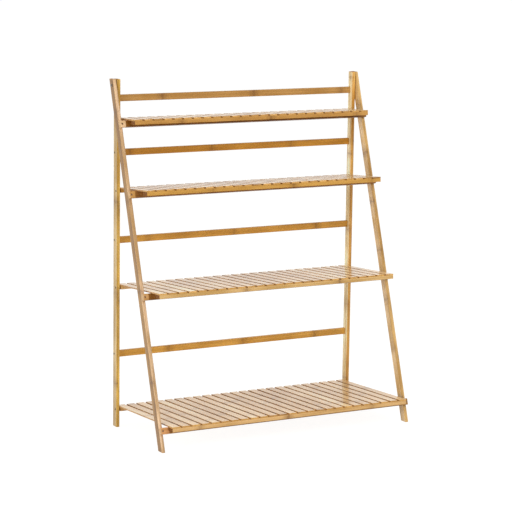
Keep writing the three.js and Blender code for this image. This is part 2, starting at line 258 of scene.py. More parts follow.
def local_box(node, seat):
    """The lowest and highest corner of a CAD node in the frame that it is drawn in."""
    back = seat.inverted()
    points = [back @ vertex.co for vertex in frame["nodes"][node].data.vertices]
    low = Vector([min(point[axis] for point in points) for axis in (X, Y, Z)])
    high = Vector([max(point[axis] for point in points) for axis in (X, Y, Z)])
    return low, high


def turned(shape, profile, place, sides=ROUND_SIDES, closed=False):
    """Adds a turned form. The profile gives radius and height, up the outside from its foot."""
    rings = []
    for radius, height in profile:
        count = 1 if radius == 0 else sides
        angles = [2 * math.pi * step / sides for step in range(count)]
        points = [(radius * math.cos(a), radius * math.sin(a), height) for a in angles]
        rings.append([shape.verts.new(place @ Vector(point)) for point in points])
    upper_rings = rings[1:] + rings[:1] if closed else rings[1:]
    for lower, upper in zip(rings, upper_rings):
        for step in range(sides):
            ahead_step = (step + 1) % sides
            corners = [
                lower[step % len(lower)], lower[ahead_step % len(lower)],
                upper[ahead_step % len(upper)], upper[step % len(upper)],
            ]
            shape.faces.new(list(dict.fromkeys(corners)))


def facing(point, direction, seat=UPRIGHT):
    """The placement, in the seat's frame, that stands a turned form on a point of the stand."""
    turn = Vector(direction).to_track_quat("Z", "Y").to_matrix().to_4x4()
    return seat.inverted() @ Matrix.Translation(point) @ turn


def screw_places(prefixes, outwards):
    """(head centre, outward direction, length) of each CAD screw whose name starts like that, on
    the sides that an outward direction is given for."""
    places = []
    for side, outward in outwards.items():
        direction = Vector(outward).normalized()
        for node, screw in frame["nodes"].items():
            if node.startswith(prefixes) and node.endswith(side + "_screw"):
                points = [vertex.co for vertex in screw.data.vertices]
                depths = [point.dot(direction) for point in points]
                centre = sum(points, Vector()) / len(points)
                head = centre + direction * (max(depths) - centre.dot(direction))
                places.append((head, direction, max(depths) - min(depths)))
    return places


def screw_holes(places, seat=UPRIGHT):
    """The bores of some screws, with the seats of their countersunk heads, as one cutting tool."""
    tool = bmesh.new()
    head = SCREW_HEAD_DIAMETER / 2 + HOLE_CLEARANCE
    shank = SCREW_DIAMETER / 2 + HOLE_CLEARANCE
    for point, direction, length in places:
        profile = [
            (0, -length - HOLE_CLEARANCE), (shank, -length - HOLE_CLEARANCE),
            (shank, -HEAD_TAPER), (head, 0), (head, HEAD_TAPER), (0, HEAD_TAPER),
        ]
        turned(tool, profile, facing(point, direction, seat))
    return tool


def drawn(name, shape):
    """A new object of the scene with the shape that was drawn in bmesh, which is freed."""
    mesh = bpy.data.meshes.new(name)
    shape.to_mesh(mesh)
    shape.free()
    return placed(name, mesh)


def settled(piece):
    """Applies a piece's modifiers: its mesh becomes what they give, and they are removed."""
    bpy.context.view_layer.update()
    seen = piece.evaluated_get(bpy.context.evaluated_depsgraph_get())
    made = bpy.data.meshes.new_from_object(seen)
    if len(made.materials) > 1 and made.materials[0] is None:
        made.materials.pop(index=0)  # the empty slot that a geometry tree starts with
    piece.modifiers.clear()
    piece.data = made
    made.name = piece.name


def cut_away(piece, tool):
    """Cuts a closed form out of a piece."""
    cutter = drawn("cutting_tool", tool)
    cut = piece.modifiers.new("cut", "BOOLEAN")
    cut.object = cutter
    cut.solver = "EXACT"
    settled(piece)
    bpy.data.objects.remove(cutter)


def tints_of(colours, wood):
    """What a bamboo's pale and deep tones are multiplied by to have each colour as their mean."""
    pale, deep = linear(wood[0]), linear(wood[1])
    return [
        [2 * c / (a + b) for c, a, b in zip(linear(colour), pale, deep)][:3] for colour in colours
    ]


def mark_grain(mesh, low, high, along, across, tone, knots, tints, pale_start):
    """Stores where each point lies in its own lath, in metres: along it, across it and through
    its glued layers. The tone sets one lath apart from the next, and the knots say how far from
    its start the culm's first node lies and how far apart the nodes are. Of the tints the first
    is the lath's, and the last is painted light and shade, which goes on the side where the
    first layer lies, or, where the lath has a pale start, on that."""
    through = X + Y + Z - along - across
    middle = (low[across] + high[across]) / 2
    grain = mesh.attributes.new("grain", "FLOAT_VECTOR", "POINT")
    for vertex, value in zip(mesh.vertices, grain.data):
        value.vector = (
            vertex.co[along] - low[along], vertex.co[across] - middle,
            vertex.co[through] - low[through],
        )
    tones = mesh.attributes.new("tone", "FLOAT", "POINT")
    tones.data.foreach_set("value", [tone] * len(mesh.vertices))
    places = mesh.attributes.new("knots", "FLOAT_VECTOR", "POINT")
    places.data.foreach_set("vector", [*knots, 0.0] * len(mesh.vertices))
    shades = mesh.attributes.new("tint", "FLOAT_VECTOR", "POINT")
    # Painted light and shade: the last tint goes on a leg's left side and on a rung's pale left
    # end.
    for vertex, value in zip(mesh.vertices, shades.data):
        if pale_start:
            painted_part = vertex.co[along] - low[along] < pale_start + FLAT_TOLERANCE
        else:
            painted_part = vertex.co[through] - low[through] < FLAT_TOLERANCE
        value.vector = tints[-1] if painted_part else tints[0]
    mark_ends(mesh, along)


def mark_ends(mesh, along):
    """Gives the cut ends of laths the second material of their piece."""
    for face in mesh.polygons:
        face.material_index = int(abs(face.normal[along]) > END_FACING)


def lath(name, node, body, slot, material, seat, along, across, tone, knots, tints,
         box=None, cut_level=None, holes=None, easing=LATH_EASING, pale_start=0.0, ends=None):
    """A bamboo lath that fills its CAD node: a bar with every edge eased, drawn in its own
    frame. It can be cut level at two heights, bored with some holes, and paler at its start."""
    low, high = box or local_box(node, seat)
    spare = Vector((0, 0, 0))
    if cut_level is not None:
        spare[along] = (high - low)[along]
    bar = bmesh.new()
    bmesh.ops.create_cube(bar, size=1.0)
    place = Matrix.Translation((low + high) / 2) @ Matrix.Diagonal((*(high - low + spare), 1.0))
    bmesh.ops.transform(bar, matrix=place, verts=bar.verts)
    if cut_level is not None:
        back = seat.inverted()
        for height, outward in zip(cut_level, (-1, 1)):
            point = back @ Vector((0, seat.translation.y, height))
            normal = back.to_3x3() @ Vector((0, 0, outward))
            whole = bar.verts[:] + bar.edges[:] + bar.faces[:]
            bmesh.ops.bisect_plane(
                bar, geom=whole, plane_co=point, plane_no=normal, clear_outer=True
            )
            bmesh.ops.holes_fill(bar, edges=[edge for edge in bar.edges if edge.is_boundary])
    bmesh.ops.bevel(
        bar, geom=bar.edges[:], offset=easing, offset_type="OFFSET",
        segments=EASING_STEPS, profile=EASING_PROFILE, affect="EDGES",
    )
    if pale_start:
        normal = Vector([float(axis == along) for axis in (X, Y, Z)])
        for from_start in (pale_start, pale_start + PALE_START_BLEND):
            point = normal * (low[along] + from_start)
            whole = bar.verts[:] + bar.edges[:] + bar.faces[:]
            bmesh.ops.bisect_plane(bar, geom=whole, plane_co=point, plane_no=normal)
    bmesh.ops.recalc_face_normals(bar, faces=bar.faces)
    piece = drawn(name, bar)
    if holes is not None:
        cut_away(piece, holes)
    mark_grain(piece.data, low, high, along, across, tone, knots, tints, pale_start)
    piece.data.transform(seat)
    finish_piece(piece, body, slot, (material, ends or sawn_ends), node)


def finish_piece(piece, body, slot, materials, *nodes):
    """Shades flat faces flat and rounded edges round, gives a piece that has no materials yet its
    own, hangs it on its body and hides the CAD parts that it stands for."""
    mesh = piece.data
    mesh.polygons.foreach_set("use_smooth", [True] * len(mesh.polygons))
    mesh.set_sharp_from_angle(angle=SMOOTH_ANGLE)
    even = piece.modifiers.new("even_flats", "WEIGHTED_NORMAL")
    even.keep_sharp = True
    settled(piece)
    if not piece.data.materials:
        for material in materials:
            piece.data.materials.append(material)
    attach(piece, body)
    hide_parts(*nodes)


PATTERN_LENGTH = 0.1  # the patterns' sizes are given as how often they come in 100 mm
FIBRES = {  # how often they come along the lath and across it; their noise's detail, roughness
    "fine": (0.9, 120, 3.0, 0.6),  # 0.8 mm wide: real fibres, of 0.3 mm, would not show
    "broad": (0.4, 19, 2.0, 0.5),  # bundles of fibres, 5 mm wide
    "cloud": (0.9, 3, 1.0, 0.5),  # a strip's slow change of tone, over 30 to 110 mm
}
FINE_SHARE = 0.6  # what the fine fibres add to the wood's depth of tone; the broad ones add 1.0
LAYER_SHARE = 0.35
CLOUD_SHARE = 1.0
ALL_PALE = 1.05  # the sum of the shares up to which the wood is all pale
ALL_DEEP = 1.8
OTHER_STRETCH = (13.7, 5.1, 7.9)  # how far off a lath of tone 1 reads the patterns, in metres
LAYER_SEED_STEP = 37.0
NODE_SEED_STEP = 5.3
NODE_WAVER = 13  # a node's edges waver every 8 mm
NODE_BEND = 0.018
NODE_CORE = (0.002, 0.009)  # from a node's middle, where its brown starts to fade and has faded
NODE_HALO = (0.006, 0.028)  # the same for the fainter brown about it
HALO_STRENGTH = 0.55
FAINTEST_NODE = 0.45  # of the strength of the clearest one
NODE_RELIEF = 0.8  # beside the relief of the fibres, 1.0
RELIEF_DEPTH = 0.0001
RELIEF_STRENGTH = 0.3
GLOSS_SPREAD = 0.2
COAT_ROUGHNESS = 0.15


def lacquered_bamboo(name, wood, roughness, layer, ior, coat=0.0, node_share=0.75, painted_light=None):
    """Laminated bamboo under clear lacquer, which shows as golden wood with a soft sheen. Fibres
    run along the lath, each glued layer has its own tone, and the culm's nodes cross it as brown
    bands. A colour of painted light, where one is given, is what it has past the distance that
    the third value of the knots gives."""
    pale, deep, node_brown = wood
    material, tree = new_material(name)
    grain = add(tree, "ShaderNodeAttribute", attribute_name="grain")
    tone = add(tree, "ShaderNodeAttribute", attribute_name="tone")
    knots = add(tree, "ShaderNodeAttribute", attribute_name="knots")
    in_lath = add(tree, "ShaderNodeSeparateXYZ", {0: grain.outputs["Vector"]})
    knot = add(tree, "ShaderNodeSeparateXYZ", {0: knots.outputs["Vector"]})

    # Each lath reads another stretch of the patterns.
    shift = add(
        tree, "ShaderNodeVectorMath",
        {0: OTHER_STRETCH, "Scale": tone.outputs["Fac"]}, operation="SCALE",
    )
    place = add(
        tree, "ShaderNodeVectorMath", {0: grain.outputs["Vector"], 1: shift}, operation="ADD"
    )

    # Layers: each has a random value, and those behind the first have their nodes elsewhere.
    layer_depth = add(
        tree, "ShaderNodeMath", {0: in_lath.outputs["Z"], 1: layer}, operation="DIVIDE"
    )
    layer_number = add(tree, "ShaderNodeMath", {0: layer_depth}, operation="FLOOR")
    layer_seed = add(
        tree, "ShaderNodeMath",
        {0: tone.outputs["Fac"], 1: LAYER_SEED_STEP, 2: layer_number}, operation="MULTIPLY_ADD",
    )
    layer_random = add(tree, "ShaderNodeTexWhiteNoise", {"W": layer_seed}, noise_dimensions="1D")
    is_behind = add(tree, "ShaderNodeMath", {0: layer_number, 1: 0.5}, operation="GREATER_THAN")
    layer_shift = add(
        tree, "ShaderNodeMath",
        {0: layer_random.outputs["Value"], 1: is_behind}, operation="MULTIPLY",
    )

    # Nodes: the distance along the lath to the nearest one, in metres, bent a little by noise.
    ragged = add(
        tree, "ShaderNodeTexNoise",
        {"Vector": place, "Scale": NODE_WAVER / PATTERN_LENGTH, "Detail": 2.0},
    )
    bent = add(
        tree, "ShaderNodeMath",
        {0: ragged.outputs["Fac"], 1: NODE_BEND, 2: in_lath.outputs["X"]},
        operation="MULTIPLY_ADD",
    )
    from_first = add(tree, "ShaderNodeMath", {0: bent, 1: knot.outputs["X"]}, operation="SUBTRACT")
    counted = add(
        tree, "ShaderNodeMath", {0: from_first, 1: knot.outputs["Y"]}, operation="DIVIDE"
    )
    shifted = add(tree, "ShaderNodeMath", {0: counted, 1: layer_shift}, operation="ADD")
    nearest = add(tree, "ShaderNodeMath", {0: shifted}, operation="ROUND")
    off = add(tree, "ShaderNodeMath", {0: shifted, 1: nearest}, operation="SUBTRACT")
    off_metres = add(tree, "ShaderNodeMath", {0: off, 1: knot.outputs["Y"]}, operation="MULTIPLY")
    distance = add(tree, "ShaderNodeMath", {0: off_metres}, operation="ABSOLUTE")
    fading = []
    for (fades_from, fades_to), strength in ((NODE_CORE, 1.0), (NODE_HALO, HALO_STRENGTH)):
        faded = add(
            tree, "ShaderNodeMapRange",
            {"Value": distance, "From Min": fades_from, "From Max": fades_to, "To Min": strength,
             "To Max": 0.0}, interpolation_type="SMOOTHSTEP",
        )
        fading.append(faded)
    band = add(tree, "ShaderNodeMath", dict(enumerate(fading)), operation="MAXIMUM")
    node_seed = add(
        tree, "ShaderNodeMath",
        {0: nearest, 1: NODE_SEED_STEP, 2: layer_seed}, operation="MULTIPLY_ADD",
    )
    node_random = add(tree, "ShaderNodeTexWhiteNoise", {"W": node_seed}, noise_dimensions="1D")
    node_strength = add(
        tree, "ShaderNodeMapRange",
        {"Value": node_random.outputs["Value"], "To Min": FAINTEST_NODE * node_share,
         "To Max": node_share},
    )
    node_mark = add(tree, "ShaderNodeMath", {0: band, 1: node_strength}, operation="MULTIPLY")

    # Fibres, all drawn out along the lath. What they and the layers add up to is how deep the
    # wood's tone is.
    fibres = {}
    for size, (along, across, detail, noise_roughness) in FIBRES.items():
        in_metre = [count / PATTERN_LENGTH for count in (along, across, across)]
        drawn_out = add(
            tree, "ShaderNodeVectorMath", {0: place, 1: in_metre}, operation="MULTIPLY"
        )
        fibres[size] = add(
            tree, "ShaderNodeTexNoise",
            {"Vector": drawn_out, "Scale": 1.0, "Detail": detail, "Roughness": noise_roughness},
        )
    depth_of_tone = fibres["broad"]
    for pattern, share in (
        (fibres["fine"], FINE_SHARE), (layer_random.outputs["Value"], LAYER_SHARE),
        (fibres["cloud"], CLOUD_SHARE),
    ):
        depth_of_tone = add(
            tree, "ShaderNodeMath",
            {0: pattern, 1: share, 2: depth_of_tone}, operation="MULTIPLY_ADD",
        )
    deepness = add(
        tree, "ShaderNodeMapRange",
        {"Value": depth_of_tone, "From Min": ALL_PALE, "From Max": ALL_DEEP},
        interpolation_type="SMOOTHSTEP",
    )
    between_nodes = add(
        tree, "ShaderNodeMix",
        {"Factor": deepness, "A": linear(pale), "B": linear(deep)}, data_type="RGBA",
    )
    with_nodes = add(
        tree, "ShaderNodeMix",
        {"Factor": node_mark, "A": between_nodes.outputs["Result"], "B": linear(node_brown)},
        data_type="RGBA",
    )
    own_tint = add(tree, "ShaderNodeAttribute", attribute_name="tint")
    tinted = add(
        tree, "ShaderNodeMix",
        {"Factor": 1.0, "A": with_nodes.outputs["Result"], "B": own_tint.outputs["Vector"]},
        data_type="RGBA", blend_type="MULTIPLY", clamp_result=True,
    )
    # Painted light: past that distance a lighter colour stands in for light.
    if painted_light is not None:
        past = add(
            tree, "ShaderNodeMath",
            {0: in_lath.outputs["X"], 1: knot.outputs["Z"]}, operation="GREATER_THAN",
        )
        tinted = add(
            tree, "ShaderNodeMix",
            {"Factor": past, "A": tinted.outputs["Result"], "B": linear(painted_light)}, data_type="RGBA",
        )

    # The lacquer follows the fibres and nodes a little, and its gloss varies with them.
    relief = add(
        tree, "ShaderNodeMath",
        {0: node_mark, 1: NODE_RELIEF, 2: fibres["fine"]}, operation="MULTIPLY_ADD",
    )
    bump = add(
        tree, "ShaderNodeBump",
        {"Strength": RELIEF_STRENGTH, "Distance": RELIEF_DEPTH, "Height": relief},
    )
    gloss = add(
        tree, "ShaderNodeMapRange",
        {"Value": fibres["fine"], "To Min": roughness * (1 - GLOSS_SPREAD),
         "To Max": roughness * (1 + GLOSS_SPREAD)},
    )
    surface = add(
        tree, "ShaderNodeBsdfPrincipled",
        {"Base Color": tinted.outputs["Result"], "Roughness": gloss, "IOR": ior,
         "Coat Weight": coat, "Coat Roughness": COAT_ROUGHNESS, "Normal": bump},
    )
    add(tree, "ShaderNodeOutputMaterial", {"Surface": surface})
    return material


BUNDLES = 90  # the fibre bundles of a cut end stand 1.1 mm apart
BUNDLE_EDGE = (0.2, 0.45)  # where a bundle's brown fades, as a share of that distance
SAWN_ROUGHNESS = 0.75


def sawn_bamboo(name, tones):
    """Cut ends of laths: matt, because they drink the lacquer, and dotted brown with the culm's
    fibre bundles."""
    ground, bundle_brown = tones
    material, tree = new_material(name)
    place = add(tree, "ShaderNodeTexCoord")
    bundles = add(
        tree, "ShaderNodeTexVoronoi",
        {"Vector": place.outputs["Object"], "Scale": BUNDLES / PATTERN_LENGTH},
    )
    dots = add(
        tree, "ShaderNodeMapRange",
        {"Value": bundles.outputs["Distance"], "From Min": BUNDLE_EDGE[0],
         "From Max": BUNDLE_EDGE[1]}, interpolation_type="SMOOTHSTEP",
    )
    colour = add(
        tree, "ShaderNodeMix",
        {"Factor": dots, "A": linear(bundle_brown), "B": linear(ground)}, data_type="RGBA",
    )
    surface = add(
        tree, "ShaderNodeBsdfPrincipled",
        {"Base Color": colour.outputs["Result"], "Roughness": SAWN_ROUGHNESS, "IOR": 1.5},
    )
    add(tree, "ShaderNodeOutputMaterial", {"Surface": surface})
    return material


sawn_ends = sawn_bamboo("sawn_bamboo_ends", END_TONES)
rear_leg_bamboo = lacquered_bamboo(
    "lacquered_bamboo_rear_leg", REAR_LEG_WOOD, roughness=0.35, layer=LEG_LAYER, ior=1.4,
    coat=0.2,
)
SIDES = {"left": (-1, 0, 0), "right": (1, 0, 0)}
REAR_LEGS = {  # tone, knots, and the colours of the lath and of its left side, which is painted paler and greyer as light and sheen on it
    "left": (0.13, (0.16, 0.31), (0xDAAE51, 0xD0B37E)),
    "right": (0.58, (0.09, 0.27), (0xE1AA54, 0xFFE9B8)),
}
for side, (tone, knots, colours) in REAR_LEGS.items():
    outward = Vector(SIDES[side])
    holes = screw_holes(screw_places(("back_rail", "shelf"), {side: outward}))
    nut_low, nut_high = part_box(side + "_pivot_nut")
    nut_face = (nut_low + nut_high) / 2
    nut_face.x = nut_high.x if side == "left" else nut_low.x
    flange = PIVOT_FLANGE_RADIUS + HOLE_CLEARANCE
    sleeve = PIVOT_SLEEVE_RADIUS + HOLE_CLEARANCE
    under_flange = -PIVOT_FLANGE_HEIGHT - HOLE_CLEARANCE
    nut_seat = [
        (0, -NUT_BORE_REACH), (sleeve, -NUT_BORE_REACH), (sleeve, under_flange),
        (flange, under_flange), (flange, PIVOT_FLANGE_HEIGHT), (0, PIVOT_FLANGE_HEIGHT),
    ]
    turned(holes, nut_seat, facing(nut_face, -outward))
    lath(
        side + "_rear_leg_lath", side + "_rear_leg", "rear_frame", "leg_bamboo", rear_leg_bamboo,
        UPRIGHT, Z, Y, tone, knots, tints_of(colours, REAR_LEG_WOOD), holes=holes,
        easing=LEG_EASING,
    )


# ----------------------------------------------------------------------
# Back rails
# Four bamboo laths between the rear legs, one above each shelf, which keep pots from sliding
# off. They are of a deeper golden bamboo than the legs, with the same satin lacquer, and each has
# a tone of its own.
RAIL_LAYER = 0.007
BACK_RAIL_WOOD = (0xDEA147, 0xBD8230, 0x85531D)
BACK_RAILS = {  # tone, knots and colour
    1: (0.21, (0.17, 0.35), 0xC29352), 2: (0.35, (0.05, 0.31), 0xC58B31),
    3: (0.47, (0.12, 0.33), 0xC7913C), 4: (0.66, (0.20, 0.29), 0xDBA54C),
}

back_rail_bamboo = lacquered_bamboo(
    "lacquered_bamboo_back_rail", BACK_RAIL_WOOD, roughness=0.38, layer=RAIL_LAYER, ior=1.35
)
for tier, (tone, knots, colour) in BACK_RAILS.items():
    rail = f"back_rail_{tier}"
    lath(
        rail + "_lath", rail, "rear_frame", "rail_bamboo", back_rail_bamboo, UPRIGHT, X, Z, tone,
        knots, tints_of([colour], BACK_RAIL_WOOD), holes=screw_holes(screw_places(rail, SIDES)),
    )


# ----------------------------------------------------------------------
# Front legs
# Two laths like the rear ones, outside them, which hang on the pivot bolts and lean forward.
# They are sawn level at the floor and at the top.
pivot_of = {joint["child"]: Vector(joint["pos_m"]) for joint in frame["joints"]}
front_seat = seat_of("rung_1", pivot_of["front_frame"])
forward = front_seat.to_3x3() @ Vector((0, -1, 0))
FRONT_LEG_WOOD = (0xE0B678, 0xA4793C, 0x7F5930)
BOLT_HOLE_REACH = 0.02  # from the leg's middle, out of both its faces
FRONT_LEGS = {  # tone, knots, and the colours of the lath and of its left side: painted shade on the left leg's outer side, painted light on the right leg's inner side
    "left": (0.31, (0.24, 0.30), (0xDBB58A, 0x9D7232)),
    "right": (0.83, (0.095, 0.173), (0xC99E5B, 0xE2C391)),
}
front_leg_bamboo = lacquered_bamboo(
    "lacquered_bamboo_front_leg", FRONT_LEG_WOOD, roughness=0.35, layer=LEG_LAYER, ior=1.45,
    coat=0.3,
)
for side, (tone, knots, colours) in FRONT_LEGS.items():
    node = side + "_front_leg"
    low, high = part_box(node)
    holes = screw_holes(screw_places("rung", {side: forward}), front_seat)
    bore = BOLT_RADIUS + HOLE_CLEARANCE
    middle = Vector(((low.x + high.x) / 2, 0, 0))
    bolt_hole = [
        (0, -BOLT_HOLE_REACH), (bore, -BOLT_HOLE_REACH), (bore, BOLT_HOLE_REACH),
        (0, BOLT_HOLE_REACH),
    ]
    turned(holes, bolt_hole, facing(middle, (1, 0, 0)))
    lath(
        node + "_lath", node, "front_frame", "leg_bamboo", front_leg_bamboo, front_seat, Z, Y,
        tone, knots, tints_of(colours, FRONT_LEG_WOOD), cut_level=(low.z, high.z), holes=holes,
        easing=LEG_EASING,
    )


# ----------------------------------------------------------------------
# Rungs
# Four bamboo laths screwed across the front faces of the front legs. The shelves rest on them,
# and the bottom one stops the front frame. Their colours hold the shade that they lie in in the
# photo: browner than the legs, and paler at the left ends, which stick out of it.
RUNG_WOOD = (0xE4B172, 0xC29050, 0x895C32)
RUNGS = {  # tone, knots, the colours of the lath and of its left end, and how long that end is
    1: (0.28, (0.22, 0.35), (0x84541E, 0xDDB788), 0.018),
    2: (0.41, (0.31, 0.33), (0x9E6C38, 0xD4A261), 0.018),
    3: (0.53, (0.14, 0.30), (0x94642E, 0xD0A068), 0.018),
    4: (0.72, (0.26, 0.32), (0xA8783F, 0xDDA26A), 0.028),
}
RUNG_END_TONES = (0xD8B488, 0xB08A5C)

rung_bamboo = lacquered_bamboo(
    "lacquered_bamboo_rung", RUNG_WOOD, roughness=0.36, layer=RAIL_LAYER, ior=1.35
)
rung_ends = sawn_bamboo("sawn_bamboo_rung_ends", RUNG_END_TONES)
for tier, (tone, knots, colours, pale_start) in RUNGS.items():
    rung = f"rung_{tier}"
    own_screws = screw_places(rung, dict.fromkeys(SIDES, forward))
    lath(
        rung + "_lath", rung, "front_frame", "rail_bamboo", rung_bamboo, front_seat, X, Z, tone,
        knots, tints_of(colours, RUNG_WOOD), holes=screw_holes(own_screws, front_seat),
        pale_start=pale_start, ends=rung_ends,
    )


# ----------------------------------------------------------------------
# Shelf rails
# Each shelf has a rear rail, which turns on two screws, and a front rail that hooks over its
# rung. Both are bamboo laths lying flat under the slats, which are nailed to them.
SHELF_RAIL_DEPTH = 0.028
SHELF_RAIL_HEIGHT = 0.012
PLANED_EASING = 0.0005  # of a front rail, which is planed flush with the slats' ends
SHELF_RAIL_WOOD = (0xE1B169, 0xC09049, 0x875C2E)
RAIL_END_TONES = (0x80501E, 0x4E2C0E)  # darkened for the shade of the deck's edge
FRONT_RAILS = {  # tone, knots and colour
    1: (0.17, (0.18, 0.34), 0xC18D46), 2: (0.39, (0.25, 0.31), 0xCA9645),
    3: (0.61, (0.33, 0.36), 0xDBB273), 4: (0.88, (0.11, 0.33), 0xD9AC6E),
}
REAR_RAILS = {  # tone and knots
    1: (0.07, (0.28, 0.33)), 2: (0.44, (0.15, 0.35)),
    3: (0.69, (0.21, 0.30)), 4: (0.93, (0.30, 0.34)),
}

shelf_rail_bamboo = lacquered_bamboo(
    "lacquered_bamboo_shelf_rail", SHELF_RAIL_WOOD, roughness=0.35, layer=RAIL_LAYER, ior=1.35
)
rail_ends = sawn_bamboo("sawn_bamboo_rail_ends", RAIL_END_TONES)
shelf_seats = {}
for tier, (tone, knots, colour) in FRONT_RAILS.items():
    shelf = f"shelf_{tier}"
    tints = tints_of([colour], SHELF_RAIL_WOOD)
    seat = seat_of(shelf + "_front_rail", pivot_of[shelf])
    shelf_seats[tier] = seat
    deck_low, deck_high = local_box(shelf + "_deck", seat)
    front_low, front_high = local_box(shelf + "_front_rail", seat)
    front_high.z = deck_low.z + SHELF_RAIL_HEIGHT  # the slats lie on it
    lath(
        shelf + "_front_rail_lath", shelf + "_front_rail", shelf, "rail_bamboo",
        shelf_rail_bamboo, seat, X, Z, tone, knots, tints, box=(front_low, front_high),
        easing=PLANED_EASING, ends=rail_ends,
    )
    rail_low = Vector((deck_low.x, deck_high.y - SHELF_RAIL_DEPTH, deck_low.z))
    rail_high = Vector((deck_high.x, deck_high.y, deck_low.z + SHELF_RAIL_HEIGHT))
    rear_tone, rear_knots = REAR_RAILS[tier]
    lath(
        shelf + "_rear_rail_lath", shelf + "_deck", shelf, "rail_bamboo", shelf_rail_bamboo,
        seat, X, Z, rear_tone, rear_knots, tints, box=(rail_low, rail_high),
        holes=screw_holes(screw_places(shelf, SIDES), seat), ends=rail_ends,
    )


# ----------------------------------------------------------------------
# Decks
# Twenty-five thin slats of paler bamboo are nailed across the rails of each shelf, evenly spaced,
# with eased edges. Their lacquer is thicker and glossier than the laths', so that they look
# nearly white where they mirror the studio.
SLAT_COUNT = 25
SLAT_WIDTH = 0.027
SLAT_THICKNESS = 0.005
SLAT_EASING = 0.0012
SLAT_EASING_STEPS = 3
LEAST_EASING = 0.0001  # of a slat's lower edges
SLAT_END_EASING = 0.0005
SLAT_END_STEPS = 2
SLAT_END_ANGLE = math.radians(60)
FACING_OUT = 0.9  # how far a normal points along an axis on a slat's side or end, at the least
SLAT_WOOD = (0xFEE3B4, 0xE3BC86, 0x99734F)
BROWNEST_SLAT = (0.93, 0.87, 0.82)  # the tints that the slats vary between
PALEST_SLAT = (1.13, 1.12, 1.12)
NEAREST_KNOTS = {"X": 0.0, "Y": 0.28}  # the knots that the slats vary between
FURTHEST_KNOTS = {"X": 0.3, "Y": 0.36}
# The slats' sides hold painted shade for the narrow gaps between the slats, and painted light where
# they lie over the front rail.
SLAT_SIDE_SHADED_WOOD = (0xC69F6E, 0xA37A4C, 0xA37A4C)  # darker than the faces, as in the photo
# over the front rail: lighter in the photo, maybe pooled lacquer
SLAT_SIDE_PAINTED_LIGHT = 0xCCA266  # over the front rail: painted light, lighter than the rest of the side
WHOLE_SLAT = 1.0  # a layer thicker than the slat: slats are of one strip

slat_bamboo = lacquered_bamboo(
    "glossy_lacquered_bamboo_slat", SLAT_WOOD, roughness=0.2, layer=WHOLE_SLAT, ior=1.5,
    node_share=0.6,
)
slat_side_bamboo = lacquered_bamboo(
    "lacquered_bamboo_slat_side_painted_shade_and_light", SLAT_SIDE_SHADED_WOOD, roughness=0.45, layer=WHOLE_SLAT, ior=1.4,
    painted_light=SLAT_SIDE_PAINTED_LIGHT,
)


def named_inputs(tree, kinds):
    """Gives a geometry tree its output and its inputs, and returns the sockets of the inputs."""
    tree.interface.new_socket("Geometry", in_out="OUTPUT", socket_type="NodeSocketGeometry")
    for name, kind in kinds.items():
        tree.interface.new_socket(name, in_out="INPUT", socket_type="NodeSocket" + kind)
    return add(tree, "NodeGroupInput").outputs


